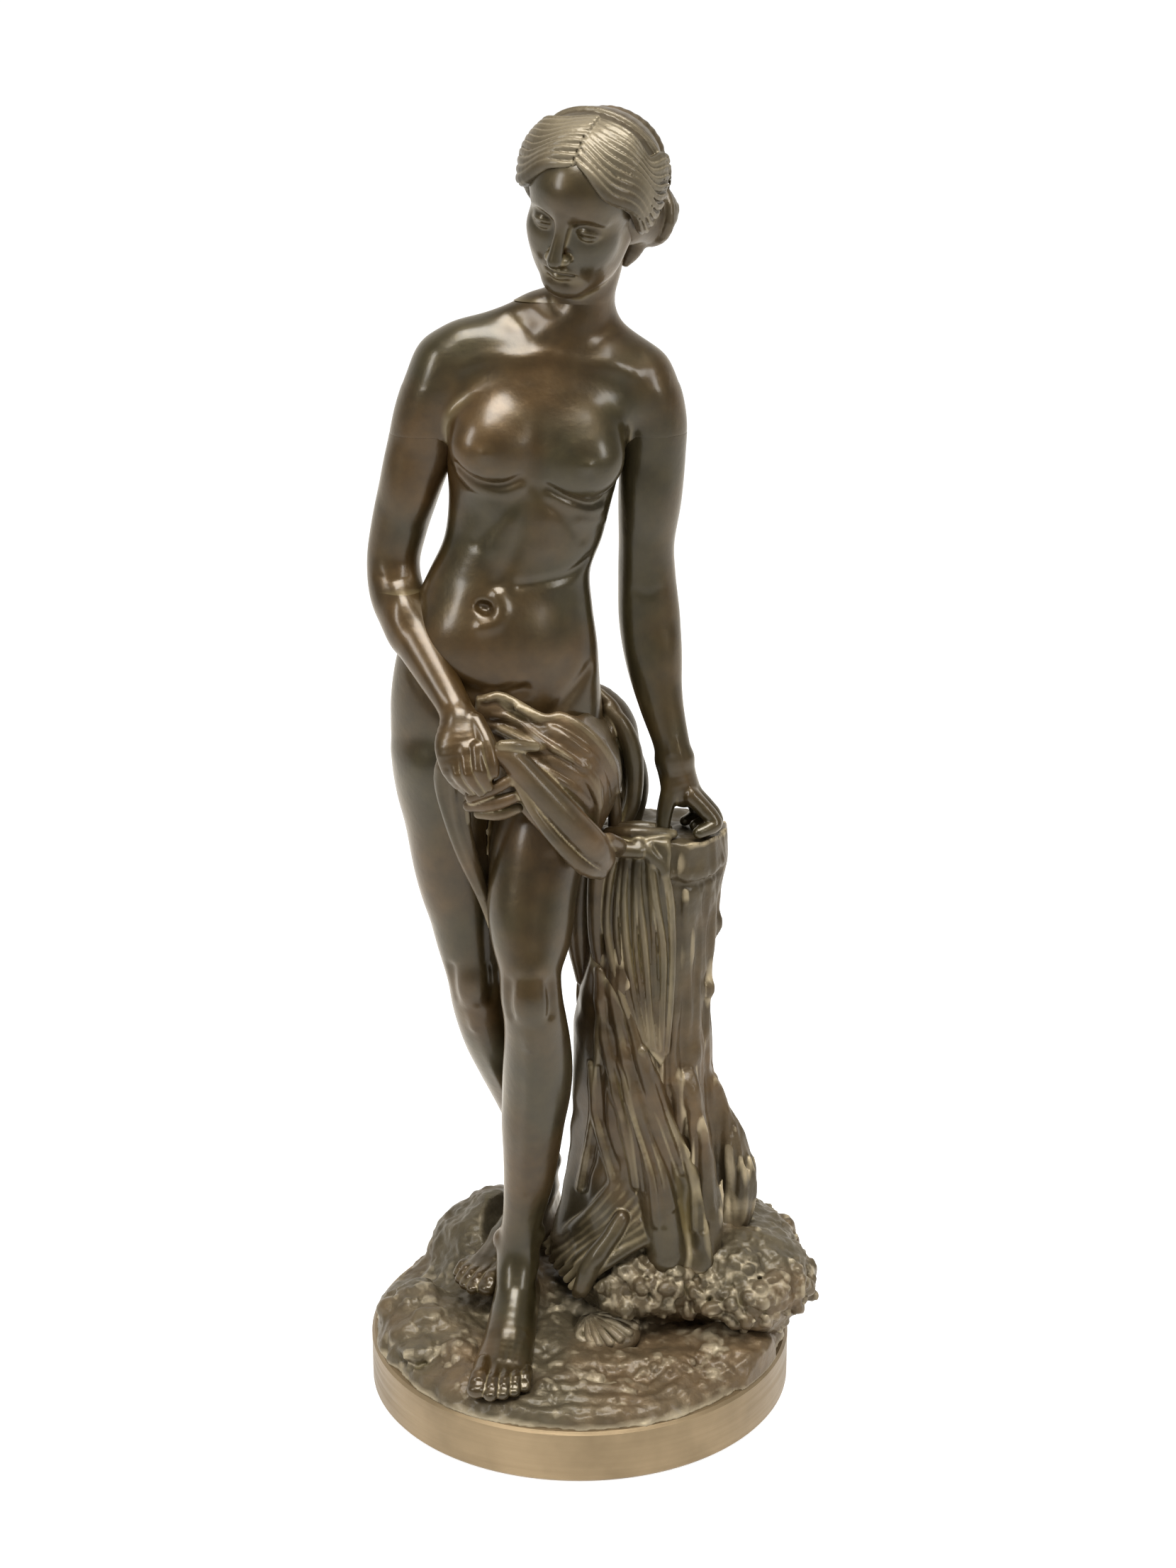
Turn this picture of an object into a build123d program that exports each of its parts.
"""Cast bronze statuette of a standing bather beside a draped tree stump, in millimetres.

Frame: origin at the centre of the base ring's resting face, +Z up, -Y towards the figure's front,
+X towards the stump, which is on the figure's left.

The statuette is built the way nineteenth-century foundries built them: hollow castings that meet at
socket-and-tenon (Roman) joints with cross pins, feet and stump held down by threaded studs and nuts under
the rock terrace, and a turned base ring screwed on from below.
"""
from build123d import *
import math
import os

# ---------------------------------------------------------------- driving dimensions
RING_R = 76.0            # outer radius of the turned base ring
RING_H = 19.0            # height of the ring's seat for the terrace
RING_WALL = 5.0
LIP_R = 60.0             # inner radius of the flange inside the ring
LIP_T = 4.0
WALL = 3.5               # casting wall of the body, limbs and stump
SCREW_PCR = 65.5         # radius of the four terrace screws' circle
SCREW_R = 2.0
STUD_R = 3.0             # feet studs, M6
ROD_R = 4.0              # stump rod, M8
PIN_R = 1.25             # cross pins of the Roman joints
SEAM_ARM_Z = 345.0       # arm seam, just under the deltoid
SEAM_ELBOW_Z = 293.0     # elbow seam, at the crease
SEAM_NECK_Z = 379.0      # neck seam, at the collar
SEAM_HIP_Z = 236.0       # thigh seam, under the drapery
SEAM_ANKLE_L = 66.0      # ankle seams, above the malleoli
SEAM_ANKLE_R = 72.0
SOLE_L = 26.0            # level of the advanced left foot's sole
SOLE_R = 38.0            # level of the right foot's sole
LEDGE_Z = 56.0           # top of the boulder under the stump
STUMP_TOP = 208.0
STUD_L = (-21.0, -16.0)
STUD_RT = (-15.0, 29.0)
ROD = (27.0, 8.0)
BOSS_Z = 22.0            # level underside of the bosses under the terrace
SHELL = (9.0, -28.0)     # centre of the scallop shell

# Stations of each casting: (height, centre x, centre y, half width, half depth).
TORSO = [
    (236, -27.5, 4.0, 37.5, 22.5), (250, -28.0, 3.0, 36.0, 21.5), (262, -28.0, 1.5, 35.0, 20.0),
    (275, -27.0, 0.0, 33.2, 18.0), (288, -25.5, 0.0, 30.0, 16.8), (300, -23.0, 0.5, 26.8, 16.3),
    (311, -18.5, 1.5, 26.2, 17.3), (324, -16.0, 2.0, 27.0, 18.6), (338, -14.5, 2.5, 29.0, 19.6),
    (350, -12.5, 3.0, 31.0, 18.6), (361, -11.5, 3.5, 31.5, 15.5), (370, -10.0, 4.0, 26.0, 12.5),
    (377, -5.0, 4.5, 14.0, 10.5), (383, -2.0, 4.0, 10.5, 10.2),
]
RIGHT_LEG = [
    (236, -45.5, 4.5, 19.0, 21.0), (222, -44.0, 6.0, 19.0, 20.5), (208, -42.0, 7.0, 17.8, 19.0),
    (194, -40.5, 7.0, 16.4, 17.0), (180, -39.0, 6.0, 14.6, 15.2), (166, -37.4, 4.5, 12.8, 13.2),
    (153, -35.4, 3.5, 11.2, 12.2), (140, -33.8, 6.0, 10.9, 12.2), (125, -29.6, 10.0, 11.4, 12.8),
    (110, -25.0, 15.0, 10.4, 11.6), (95, -20.8, 20.0, 8.8, 9.6), (80, -17.6, 25.0, 7.2, 8.0),
    (68, -15.6, 28.5, 6.4, 7.6), (58, -15.2, 30.0, 6.8, 8.4),
]
LEFT_LEG = [
    (236, -8.5, 0.0, 18.0, 21.0), (225, -9.5, -3.5, 18.2, 20.0), (212, -12.5, -9.0, 17.6, 18.4),
    (200, -14.6, -13.5, 16.2, 17.0), (187, -16.2, -18.5, 14.3, 15.2), (176, -16.6, -22.5, 12.1, 13.4),
    (167, -16.6, -25.0, 10.6, 12.4), (158, -16.2, -26.0, 10.6, 12.0), (149, -15.0, -25.0, 10.8, 11.6),
    (140, -14.4, -22.5, 11.4, 12.0), (129, -14.4, -19.5, 12.1, 12.8), (118, -15.0, -17.5, 11.9, 12.4),
    (106, -16.2, -16.5, 11.1, 11.2), (94, -16.9, -15.5, 10.0, 9.8), (82, -17.9, -15.0, 8.9, 8.6),
    (69, -19.9, -14.5, 7.4, 7.6), (60, -21.4, -14.5, 7.2, 8.0), (50, -22.0, -15.0, 7.6, 9.0),
]
# Stations of each arm: (centre x, y, z, half width, half depth), laid square to the arm's own path.
RIGHT_ARM = [
    (-37, 4, 371, 10.0, 9.0), (-43, 4, 363, 12.0, 11.5), (-47.5, 4.5, 352, 11.5, 11.5),
    (-51.5, 5.5, 340, 10.2, 10.6), (-55.5, 6.5, 327, 9.2, 10.0), (-59.5, 8.0, 313, 8.8, 9.4),
    (-62.2, 8.0, 301, 8.9, 9.0), (-60.6, 3.5, 290.5, 9.2, 8.8), (-55.6, -4.5, 281.5, 8.6, 8.2),
    (-48.0, -14.5, 270.0, 7.0, 6.8), (-42.0, -22.5, 261.5, 5.8, 5.2), (-39.0, -27.5, 256.5, 5.8, 4.8),
]
LEFT_ARM = [
    (17, 5, 370, 9.0, 8.5), (22, 6, 361, 11.8, 11.5), (24, 6.5, 350, 11.2, 11.2),
    (24.3, 7, 338, 10.2, 10.4), (23.2, 8, 323, 10.0, 9.8), (22.6, 9, 308, 9.4, 9.2),
    (22.8, 9.5, 296, 9.7, 9.0), (23.8, 8.5, 281, 10.4, 8.6), (25.2, 6.5, 267, 9.4, 7.8),
    (27.8, 4.0, 253, 7.6, 6.4), (31.0, 1.5, 241, 6.3, 5.2), (32.5, 0.5, 234, 6.4, 4.8),
]
# Stations of the stump: (height, centre x, centre y, radius across, radius in depth).
STUMP = [
    (46, 27, 9, 33.0, 28.0), (60, 26, 9, 28.0, 25.0), (78, 25.5, 8.5, 25.5, 23.5),
    (110, 25, 8, 24.5, 22.5), (150, 27, 7.5, 23.5, 21.5), (172, 28, 7.5, 22.0, 20.5),
    (188, 29, 7, 22.5, 20.5), (200, 30, 6.5, 22.0, 20.0), (STUMP_TOP, 30, 6.5, 21.0, 19.0),
]


# ---------------------------------------------------------------- shape helpers
def section(centre, half_width, half_depth, normal=(0, 0, 1)):
    """An elliptical face at a point, square to a direction, its width along X as nearly as it can be."""
    normal = Vector(*normal).normalized()
    across = Vector(1, 0, 0) - normal * Vector(1, 0, 0).dot(normal)
    plane = Plane(origin=centre, x_dir=across.normalized(), z_dir=normal)
    return plane * Ellipse(half_width, half_depth)


def upright(stations, grow=0.0):
    """A solid lofted through level ellipses."""
    faces = [section((x, y, z), a + grow, b + grow) for z, x, y, a, b in stations]
    return loft(faces).clean()


def along(stations, grow=0.0):
    """A solid lofted through ellipses that stand square to the path of their centres."""
    points = [Vector(x, y, z) for x, y, z, _, _ in stations]
    last = len(points) - 1
    faces = []
    for i, (x, y, z, a, b) in enumerate(stations):
        tangent = points[min(i + 1, last)] - points[max(i - 1, 0)]
        faces.append(section((x, y, z), a + grow, b + grow, tuple(tangent)))
    return loft(faces).clean()


def ellipsoid(centre, radii, turn=(0, 0, 0)):
    """A closed ellipsoid: a unit ball stretched along its three axes, turned, and put in place."""
    return Pos(*centre) * Rot(*turn) * scale(Sphere(1.0), by=radii)


def rod(start, end, radius):
    """A plain round bar from one point to another."""
    start, end = Vector(*start), Vector(*end)
    path = end - start
    plane = Plane(origin=start, z_dir=path.normalized())
    return extrude(plane * Circle(radius), path.length)


def between(solid, low, high):
    """The slice of a solid between two levels."""
    return solid & half_space(low, True) & half_space(high, False)


def hollowed(stations):
    """The stations of the core that leaves the casting wall inside level stations."""
    return [(z, x, y, a - WALL, b - WALL) for z, x, y, a, b in stations]


def largest(shape):
    """The one real solid of a cut shape, without the crumbs that a cut can leave beside it."""
    return max(shape.solids(), key=lambda solid: solid.volume)


def without(solid, *others):
    """A solid with its neighbours cut out of it."""
    for other in others:
        solid = solid - other
    return largest(solid)


def capsule(start, end, r_start, r_end):
    """A tapered bar with round ends, as a finger, toe or root."""
    s, e = Vector(*start), Vector(*end)
    path = e - s
    plane = Plane(origin=s, z_dir=path.normalized())
    taper = Cone(r_start, r_end, path.length, align=(Align.CENTER, Align.CENTER, Align.MIN))
    return plane.location * taper + Pos(*start) * Sphere(r_start) + Pos(*end) * Sphere(r_end)


def chain(points, radii):
    """Capsules in a row, fused."""
    solid = None
    for p, q, r, s in zip(points, points[1:], radii, radii[1:]):
        piece = capsule(p, q, r, s)
        solid = piece if solid is None else solid + piece
    return solid


def half_space(z, above):
    """A large block on one side of a level plane."""
    size = 400.0
    low = z if above else z - size
    return Pos(0, 0, low + size / 2) * Box(size, size, size)


def write(shape, name):
    solids = shape.solids()
    keep = [s for s in solids if s.volume > 1.0]
    whole = keep[0] if len(keep) == 1 else Compound(children=keep)
    export_step(whole, f"parts/{name}.step")
    print(f"{name}: {len(keep)} solid(s), {sum(s.volume for s in keep) / 1000:.2f} cm3")


# ---------------------------------------------------------------- base
def base_ring():
    """The turned band round the base, with its edges eased."""
    profile = Polyline(
        (RING_R - RING_WALL, 0), (RING_R - 0.6, 0), (RING_R, 0.8), (RING_R, RING_H - 1.0),
        (RING_R - 1.0, RING_H), (RING_R - RING_WALL, RING_H), (RING_R - RING_WALL, 0),
    )
    return revolve(Plane.XZ * make_face(profile), Axis.Z)


def ring_seat():
    """The flat flange soldered inside the band, which the terrace rests on and is screwed to."""
    middle = RING_H - LIP_T / 2
    flange = Pos(0, 0, middle) * (Cylinder(RING_R - RING_WALL, LIP_T) - Cylinder(LIP_R, LIP_T))
    holes = [Pos(x, y, middle) * Cylinder(SCREW_R + 0.25, LIP_T * 2) for x, y in screw_places()]
    return flange - holes


def screw_places():
    """The four terrace screws, on the diagonals."""
    turns = [math.radians(45 + 90 * i) for i in range(4)]
    return [(SCREW_PCR * math.cos(t), SCREW_PCR * math.sin(t)) for t in turns]


def ground():
    """The outer shape of the cast rock ground, before anything is let into it."""
    edge = RING_R - 1.5
    rise = Spline((edge - 2, RING_H + 4.0), (60, 26.5), (34, 29.5), (0, 31.0), tangents=((-1, 0.8), (-1, 0)))
    outline = [Line((0, RING_H), (edge, RING_H)), Line((edge, RING_H), (edge - 2, RING_H + 4.0)), rise,
               Line((0, 31.0), (0, RING_H))]
    dome = revolve(Plane.XZ * make_face(outline), Axis.Z)
    back_mound = ellipsoid((-38, 24, 20), (33, 32, 27), (0, 0, 20))
    foot_mound = ellipsoid((-24, 16, 20), (32, 38, 18.6))
    left_lump = ellipsoid((-52, -14, 18), (21, 26, 15))
    right_lump = ellipsoid((54, -30, 18), (18, 20, 14))
    rock = dome + back_mound + foot_mound + left_lump + right_lump
    within = Pos(0, 0, RING_H + 30) * Cylinder(RING_R - 0.8, 60)
    return rock & within


def stud_places():
    """Foot studs: (x, y, underside of its boss, top inside the foot)."""
    return [(*STUD_L, BOSS_Z, 44.0), (*STUD_RT, BOSS_Z, 54.0)]


def terrace(ground_solid, feet):
    """The rock ground as a casting: hollowed below, with bosses for the studs and threaded screw holes."""
    inner = Spline((56, RING_H), (46, 23.0), (24, 25.5), (0, 26.0), tangents=((-1, 0.9), (-1, 0)))
    outline = [Line((0, RING_H - 1), (56, RING_H - 1)), Line((56, RING_H - 1), (56, RING_H)), inner,
               Line((0, 26.0), (0, RING_H - 1))]
    hollow = revolve(Plane.XZ * make_face(outline), Axis.Z)
    shell = ground_solid - hollow
    for x, y, low, _ in stud_places() + [(*ROD, BOSS_Z, 0)]:
        boss = Pos(x, y, low + 3) * Cylinder(9.5, 6)
        shell = shell + (boss & ground_solid)
    for x, y, _, _ in stud_places():
        shell = shell - Pos(x, y, 40) * Cylinder(STUD_R, 60)
    shell = shell - Pos(*ROD, 40) * Cylinder(ROD_R, 60)
    for x, y in screw_places():
        shell = shell - Pos(x, y, RING_H + 1.5) * Cylinder(SCREW_R, 3.0)
    for foot in feet:
        shell = shell - foot
    return shell


def boulder_shape():
    """The encrusted ledge under the stump, which overhangs the ring on the figure's left."""
    lumps = [
        ellipsoid((40, 8, 38), (41, 35, 18)), ellipsoid((59, -10, 37), (23, 24, 16)),
        ellipsoid((22, -10, 40), (24, 19, 14.5)), ellipsoid((56, 22, 34), (21, 24, 17)),
    ]
    solid = lumps[0] + lumps[1] + lumps[2] + lumps[3]
    return solid & (Pos(0, 0, LEDGE_Z - 100) * Box(300, 300, 200))


def stump_shape(grow=0.0):
    """The stump's outer shape, with the root that runs down its outer side and a cut branch behind."""
    trunk = upright(STUMP, grow)
    root = chain([(47, 4, 106), (54, 2, 84), (57, 1, 70), (52, 2, 52)],
                 [4 + grow, 6.5 + grow, 7.5 + grow, 7 + grow])
    branch = capsule((22, 26, 150), (16, 36, 168), 7 + grow, 5.5 + grow)
    return trunk + root + branch


def stump(boulder_solid):
    """The stump as a hollow casting with a solid foot, bored for its long rod."""
    core = between(upright(hollowed(STUMP)), 95.0, STUMP_TOP - 5.0)
    body = stump_shape() - core - boulder_solid
    body = body & half_space(LEDGE_Z - 6, True)
    return body - Pos(*ROD, 60) * Cylinder(ROD_R, 60)


# ---------------------------------------------------------------- figure
def torso_shape():
    """The trunk of the figure with both shoulders, down to the arm seams."""
    shoulders = (along(RIGHT_ARM[:6]) + along(LEFT_ARM[:6])) & half_space(SEAM_ARM_Z, True)
    breasts = ellipsoid((-29, -13, 341), (12, 10.5, 11.5)) + ellipsoid((0, -12, 339), (12, 10.5, 11.5))
    seat = ellipsoid((-44, 14, 241), (17, 15, 17)) + ellipsoid((-12, 13, 240), (17, 15, 17))
    return upright(TORSO) + shoulders + breasts + seat


def tenon_up(x, y, z, radius, length):
    """A Roman joint's tenon standing on a level seam."""
    return Pos(x, y, z + length / 2 - 0.5) * Cylinder(radius, length + 1)


# Tenons on their seams: name of the casting that carries it: (x, y, seam height, radius, length).
TENONS = {
    "right_arm": (-50.0, 5.2, SEAM_ARM_Z, 5.0, 9.0),
    "left_arm": (24.2, 6.7, SEAM_ARM_Z, 5.0, 9.0),
    "right_forearm": (-61.0, 5.5, SEAM_ELBOW_Z, 4.2, 8.0),
    "left_forearm": (23.0, 9.3, SEAM_ELBOW_Z, 4.6, 8.0),
    "right_leg": (-45.5, 4.5, SEAM_HIP_Z, 10.0, 11.0),
    "left_leg": (-9.0, 0.5, SEAM_HIP_Z, 10.0, 11.0),
    "left_foot": (-20.3, -14.5, SEAM_ANKLE_L, 3.6, 8.0),
    "right_foot": (-16.4, 27.3, SEAM_ANKLE_R, 3.4, 8.0),
}
NECK_TENON = (-1.5, 4.3, SEAM_NECK_Z, 6.0, 10.0)


def tenon(name):
    return tenon_up(*TENONS[name])


def neck_tenon():
    x, y, z, r, length = NECK_TENON
    return Pos(x, y, z - length / 2 + 0.5) * Cylinder(r, length + 1)


def cross_pins():
    """One cross pin through every Roman joint, each a little shorter than its casting is deep."""
    pins = []
    for name, (x, y, z, r, length) in TENONS.items():
        reach = r + 2.5
        mid = z + length / 2
        pins.append(rod((x, y - reach, mid), (x, y + reach, mid), PIN_R))
    x, y, z, r, length = NECK_TENON
    pins.append(rod((x, y - 1, z - length / 2), (x, y + r + 4.0, z - length / 2), PIN_R))
    return pins


def torso(shape):
    """The torso casting: from the thigh seam to the collar, with sockets for head, arms and thighs."""
    body = between(shape, SEAM_HIP_Z, SEAM_NECK_Z) - upright(hollowed(TORSO[1:10]))
    for name in ("right_arm", "left_arm", "right_leg", "left_leg"):
        body = body - tenon(name)
    return body - neck_tenon()


def head_and_neck():
    """The head casting: neck, face, dressed hair with its band and the knot behind."""
    neck = along([(-1.5, 4.3, 377, 10.8, 10.2), (0, 4, 383, 9.7, 9.8), (2, 3.2, 391, 9.2, 9.6),
                  (4.5, 3, 402, 9.6, 10.6), (6, 2, 412, 10.0, 12.0)])
    skull = ellipsoid((5.5, 1.0, 427.5), (21.5, 25.5, 22.0), (0, 0, -19))
    face = ellipsoid((-1.5, -11.5, 413.5), (14.5, 14.0, 21.5), (24, 0, -19))
    knot = ellipsoid((19.5, 14, 421), (12.5, 12.5, 14.5), (0, 0, -19))
    nape = ellipsoid((14, 13, 406), (8, 8, 8))
    crown = ellipsoid((10, 4, 436), (16, 19, 14), (0, 0, -19))
    head = neck + skull + face + knot + nape + crown
    return head & half_space(SEAM_NECK_Z, True)


def head():
    """The head, cored out, with its tenon below the collar seam."""
    core = ellipsoid((6, 2, 428), (15, 18, 15))
    return head_and_neck() - core + neck_tenon()


def right_hand():
    """The right hand, closed on the gathered cloth."""
    palm = along([(-39, -27.5, 256.5, 5.8, 4.8), (-38, -32.5, 250.5, 7.8, 4.6), (-37, -36, 244, 8.6, 4.4),
                  (-36, -36.5, 238, 7.6, 4.4), (-35, -34, 233, 5.8, 4.0)])
    thumb = chain([(-33, -30, 253), (-30, -36.5, 246.5), (-30.5, -38, 241)], [3.2, 2.6, 2.0])
    return palm + thumb


def left_hand():
    """The left hand, its fingertips and thumb set on the stump."""
    palm = along([(32.5, 0.5, 234, 6.4, 4.8), (34.6, -0.8, 227, 7.2, 4.2), (38.5, -2.6, 219.5, 7.6, 4.0)])
    thumb = chain([(31, -1, 227), (28.6, -5, 217), (28.3, -6, 210.6)], [3.2, 2.7, 2.2])
    fingers = chain([(40, -2.6, 219), (45.6, -4.5, 213.5), (40, -8.5, 210.8)], [4.0, 3.4, 2.4])
    return palm + thumb + fingers


def foot_shape(stations, sole, ankle):
    """A foot lofted from heel to toes, joined to the ankle above, and flat at its sole."""
    body = along(stations) + upright(ankle)
    return body & half_space(sole, True)


LEFT_FOOT = [
    (-20.5, -1.5, 33, 5.4, 6.5), (-21.2, -7, 34, 7.0, 9.5), (-22.2, -16, 36, 7.8, 12.0),
    (-23.5, -29, 34, 8.4, 9.8), (-25.2, -41, 31, 9.4, 7.2), (-26.8, -51, 29.2, 10.2, 5.0),
    (-28.0, -60, 28.4, 9.8, 3.8), (-28.8, -67, 28.2, 7.6, 2.6),
]
RIGHT_FOOT = [
    (-12.5, 43, 44, 5.2, 6.5), (-13.4, 37, 45, 6.6, 9.5), (-15.2, 29, 47, 7.4, 12.0),
    (-20.5, 18, 45.5, 8.0, 9.6), (-26.5, 7.5, 43, 8.8, 7.0), (-31.8, -1.5, 41.3, 9.4, 5.0),
    (-36, -8.5, 40.4, 9.0, 3.8), (-39, -14, 40.0, 7.0, 2.6),
]


def left_foot():
    shin_end = [s for s in LEFT_LEG if s[0] <= 82] + [(40, -22.0, -15.5, 7.4, 9.0)]
    return foot_shape(LEFT_FOOT, SOLE_L, shin_end) & half_space(SEAM_ANKLE_L, False)


def right_foot():
    shin_end = [s for s in RIGHT_LEG if s[0] <= 80] + [(50, -15.2, 30.0, 6.8, 8.6)]
    return foot_shape(RIGHT_FOOT, SOLE_R, shin_end) & half_space(SEAM_ANKLE_R, False)


# ---------------------------------------------------------------- drapery
def hip_wrap():
    """The cloth drawn round the left hip, with the thick roll that crosses the thigh."""
    swag = ellipsoid((-8, -4, 240), (25, 30, 32), (0, 18, 0)) & half_space(256, False)
    roll = along([(-33, -37, 245, 5.0, 6.0), (-26, -37, 240, 6.5, 8.0), (-14, -35.5, 229, 7.0, 9.0),
                  (-2, -33, 217, 7.5, 9.0), (8, -27, 206, 6.5, 7.5), (13, -20, 202, 5.0, 5.0)])
    return swag + roll


def hip_bundle():
    """The bunch of cloth behind the left hip."""
    lumps = ellipsoid((13, 14, 250), (10, 12, 16), (0, 14, 0)) + ellipsoid((20, 13, 230), (8.5, 10, 20))
    return lumps + ellipsoid((11, 17, 222), (10, 11, 15))


def thigh_tail():
    """The end of cloth that hangs from the right hand between the thighs."""
    return along([(-40, -28, 246, 6.5, 3.0), (-41, -24, 232, 6.0, 3.0), (-38, -19, 214, 5.0, 2.6),
                  (-33, -14, 196, 3.6, 2.2), (-31, -12, 180, 1.8, 1.6)])


def stump_fall():
    """The cloth over the stump's top that falls in a point down its front."""
    cover = stump_shape(3.2) & (Pos(0, 0, 169) * Box(300, 300, 2 * (STUMP_TOP + 3.0 - 169)))
    wedge_outline = Polyline((0, 214), (33, 214), (42, 200), (38, 150), (31, 126), (22, 146), (4, 170), (0, 214))
    wedge = extrude(Plane.XZ * make_face(wedge_outline), 60)
    return cover & wedge


def stump_skirt():
    """The lower cloth that winds round the stump and trails on the ground."""
    cover = stump_shape(3.6)
    band_outline = Polyline((-6, 168), (16, 150), (40, 96), (48, 52), (-20, 52), (-14, 120), (-6, 168))
    band = extrude(Plane.XZ * make_face(band_outline), 80)
    trail = chain([(6, -12, 62), (-4, -18, 44), (-13, -20, 35)], [6.0, 5.0, 2.5])
    hem = chain([(20, -18, 60), (6, -25, 50), (-2, -28, 37)], [6.5, 5.5, 4.5])
    return (cover & band) + trail + hem


# ---------------------------------------------------------------- fittings
def hexagon_nut(x, y, top, flats, height, bore):
    """A square-faced hexagon nut under a level face."""
    blank = extrude(Plane.XY * RegularPolygon(flats / math.sqrt(3), 6), height)
    return Pos(x, y, top - height) * (blank - Pos(0, 0, height / 2) * Cylinder(bore, height * 2))


def washer(x, y, top, outer, thickness, bore):
    return Pos(x, y, top - thickness / 2) * (Cylinder(outer, thickness) - Cylinder(bore, thickness * 2))


def pan_screw(x, y, seat, reach):
    """A terrace screw: its shank goes up from the washer, its slotted pan head hangs below."""
    head_r, head_h, slot_w, slot_d = 3.6, 2.6, 1.0, 1.2
    shank = Pos(x, y, seat + reach / 2) * Cylinder(SCREW_R, reach)
    pan = Pos(x, y, seat - head_h / 2) * Cylinder(head_r, head_h)
    slot = Pos(x, y, seat - head_h + slot_d / 2) * Box(2 * head_r + 1, slot_w, slot_d)
    return shank + pan - slot


def scallop():
    """The scallop shell on the ground: a low dome with a flat back edge."""
    dome = ellipsoid((9, -28, 29), (13, 9.5, 6.5), (14, -6, 8))
    return dome & half_space(27.5, True)


# ---------------------------------------------------------------- assembly
def ground_parts(feet):
    """The base ring, the rocks, the stump and the shell, each cut to meet its neighbours."""
    ground_solid = ground()
    foot_l, foot_r = feet
    rod_bore = Pos(*ROD, 40) * Cylinder(ROD_R, 80)
    rivet = Pos(*SHELL, 24.0) * Cylinder(1.5, 12)
    rocks = boulder_shape() & half_space(RING_H + 0.5, True)
    return {
        "base_ring": base_ring(),
        "ring_seat": ring_seat(),
        "rock_terrace": without(terrace(ground_solid, feet), rivet),
        "boulder": without(rocks, ground_solid, foot_l, foot_r, rod_bore),
        "tree_stump": stump(boulder_shape()),
        "scallop_shell": without(scallop(), ground_solid, boulder_shape(), rivet),
        "scallop_rivet": rivet,
    }


def figure_parts(shape, feet):
    """The figure's ten castings, each with its sockets and tenons."""
    foot_l, foot_r = feet
    arm_r, arm_l = along(RIGHT_ARM), along(LEFT_ARM)
    thigh_l, thigh_r = upright(LEFT_LEG), upright(RIGHT_LEG)
    upper_r = without(between(arm_r, SEAM_ELBOW_Z, SEAM_ARM_Z), shape)
    upper_l = without(between(arm_l, SEAM_ELBOW_Z, SEAM_ARM_Z), shape)
    fore_r = without((arm_r & half_space(SEAM_ELBOW_Z, False)) + right_hand(), shape)
    fore_l = without((arm_l & half_space(SEAM_ELBOW_Z, False)) + left_hand(), stump_shape())
    leg_l = between(thigh_l, SEAM_ANKLE_L, SEAM_HIP_Z) - upright(hollowed(LEFT_LEG[1:13]))
    leg_r = between(thigh_r, SEAM_ANKLE_R, SEAM_HIP_Z) - upright(hollowed(RIGHT_LEG[1:11]))
    stud_l = Pos(*STUD_L, 34) * Cylinder(STUD_R, 20)
    stud_r = Pos(*STUD_RT, 44) * Cylinder(STUD_R, 20)
    castings = {
        "torso": torso(shape),
        "head": head(),
        "right_upper_arm": upper_r + tenon("right_arm") - tenon("right_forearm"),
        "left_upper_arm": upper_l + tenon("left_arm") - tenon("left_forearm"),
        "right_forearm": fore_r + tenon("right_forearm"),
        "left_forearm": fore_l + tenon("left_forearm"),
        "left_leg": leg_l + tenon("left_leg") - tenon("left_foot"),
        "right_leg": leg_r - thigh_l + tenon("right_leg") - tenon("right_foot"),
        "left_foot": foot_l + tenon("left_foot") - stud_l,
        "right_foot": foot_r - foot_l + tenon("right_foot") - stud_r,
    }
    pins = cross_pins()
    castings = {name: without(casting, *pins) for name, casting in castings.items()}
    castings["joint_pins"] = Compound(children=pins)
    return castings


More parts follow.
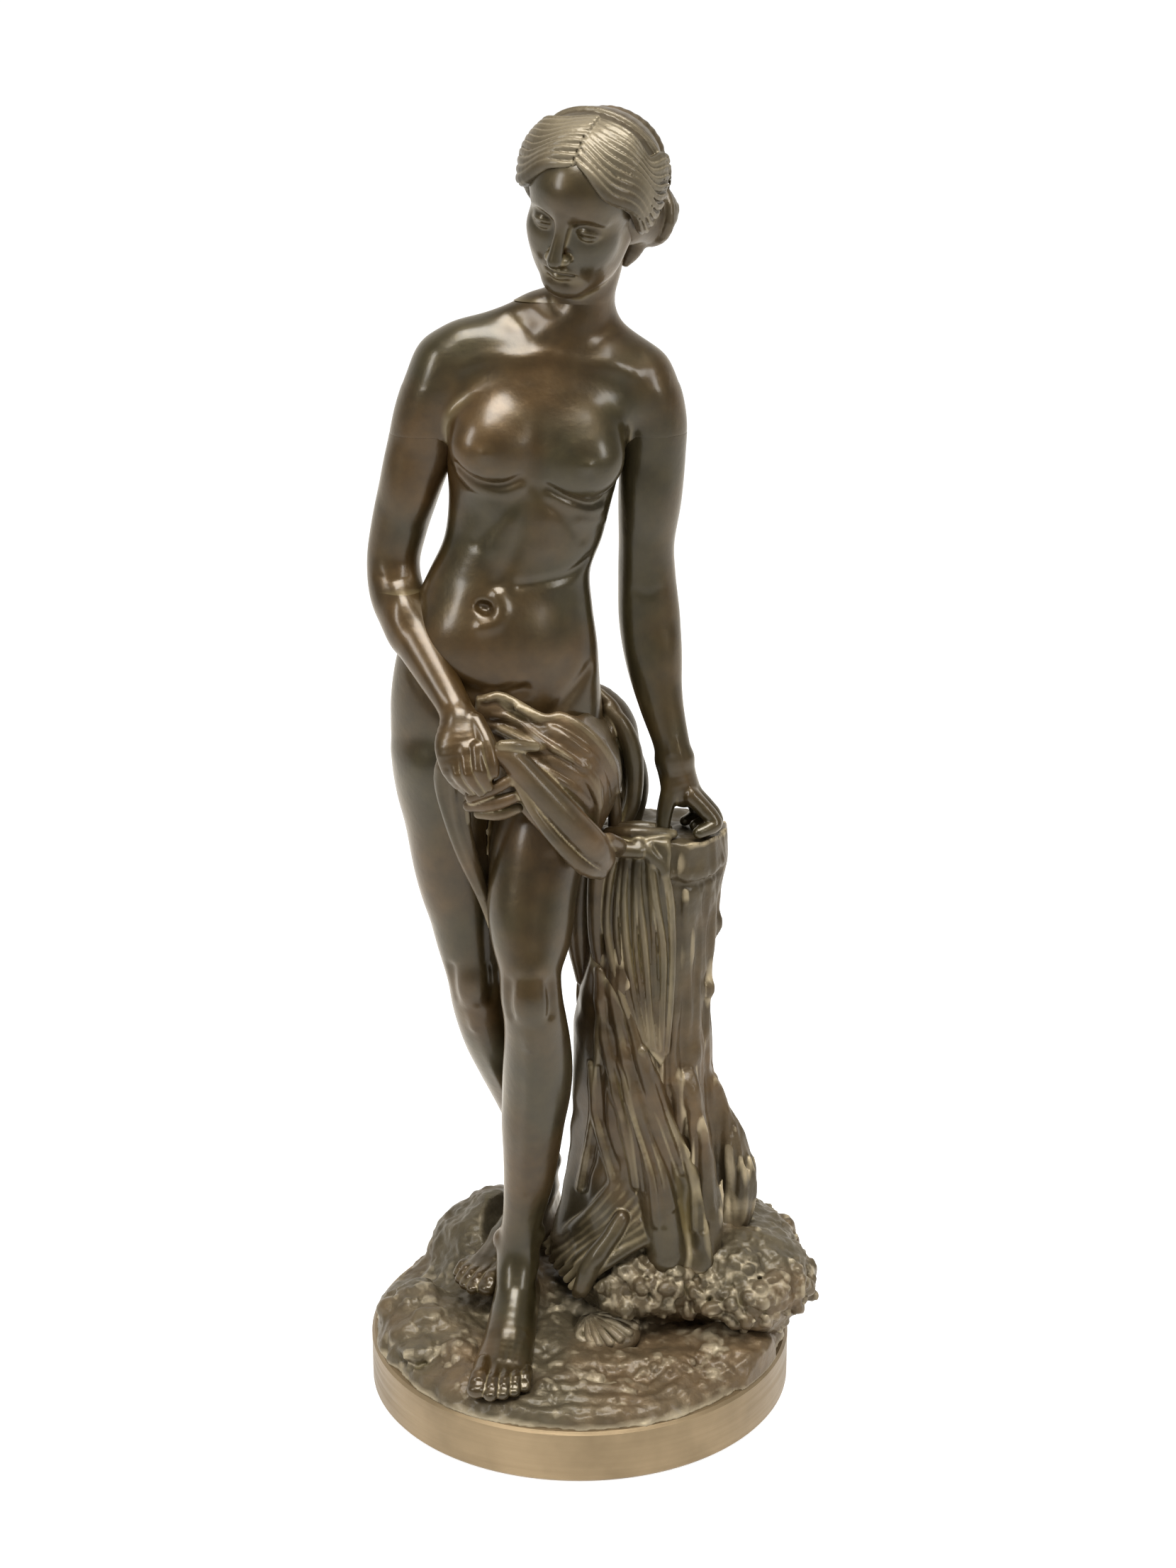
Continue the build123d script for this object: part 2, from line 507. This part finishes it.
def drapery_parts(shape, figure, ground_solids):
    """The five cast pieces of cloth, laid over the figure and the stump."""
    thigh_l, thigh_r = upright(LEFT_LEG), upright(RIGHT_LEG)
    body = [shape, thigh_l, thigh_r]
    hand_r, hand_l, foot_l = figure["right_forearm"], figure["left_forearm"], figure["left_foot"]
    wrap = without(hip_wrap(), *body, hand_r)
    bundle = without(hip_bundle(), *body, wrap, hand_l, stump_shape())
    fall = without(stump_fall(), stump_shape(), hand_l, thigh_l, wrap, bundle)
    return {
        "hip_drapery": wrap,
        "hip_bundle": bundle,
        "thigh_drapery": without(thigh_tail(), *body, wrap, hand_r),
        "stump_drapery": fall,
        "stump_skirt": without(stump_skirt(), stump_shape(), fall, thigh_l, foot_l, *ground_solids),
    }


def fitting_parts():
    """The studs, rod, nuts, washers and screws, all reached from under the base."""
    washer_t, nut_h, nut_flats, stud_low = 1.2, 5.0, 10.0, 11.0
    rod_washer_t, rod_nut_h, rod_nut_flats, rod_low, rod_high = 1.6, 6.5, 13.0, 9.0, 90.0
    screw_washer_t, thread = 0.8, 3.0
    seat = RING_H - LIP_T
    studs = stud_places()
    fittings = {}
    for name, (x, y, _, high) in zip(("left", "right"), studs):
        fittings[f"{name}_foot_stud"] = Pos(x, y, (stud_low + high) / 2) * Cylinder(STUD_R, high - stud_low)
    fittings["foot_washers"] = Compound(
        children=[washer(x, y, low, 6.5, washer_t, STUD_R) for x, y, low, _ in studs])
    fittings["foot_nuts"] = Compound(
        children=[hexagon_nut(x, y, low - washer_t, nut_flats, nut_h, STUD_R) for x, y, low, _ in studs])
    fittings["stump_rod"] = Pos(*ROD, (rod_low + rod_high) / 2) * Cylinder(ROD_R, rod_high - rod_low)
    fittings["stump_washer"] = washer(*ROD, BOSS_Z, 9.0, rod_washer_t, ROD_R)
    fittings["stump_nut"] = hexagon_nut(*ROD, BOSS_Z - rod_washer_t, rod_nut_flats, rod_nut_h, ROD_R)
    fittings["terrace_washers"] = Compound(
        children=[washer(x, y, seat, 4.2, screw_washer_t, SCREW_R + 0.25) for x, y in screw_places()])
    shank = screw_washer_t + LIP_T + thread
    fittings["terrace_screws"] = Compound(
        children=[pan_screw(x, y, seat - screw_washer_t, shank) for x, y in screw_places()])
    return fittings


def main():
    os.makedirs("parts", exist_ok=True)
    feet = (left_foot(), right_foot())
    shape = torso_shape()
    parts = ground_parts(feet)
    figure = figure_parts(shape, feet)
    parts.update(figure)
    parts.update(drapery_parts(shape, figure, [ground(), boulder_shape()]))
    parts.update(fitting_parts())
    for name, solid in parts.items():
        write(solid, name)


if __name__ == "__main__":
    main()
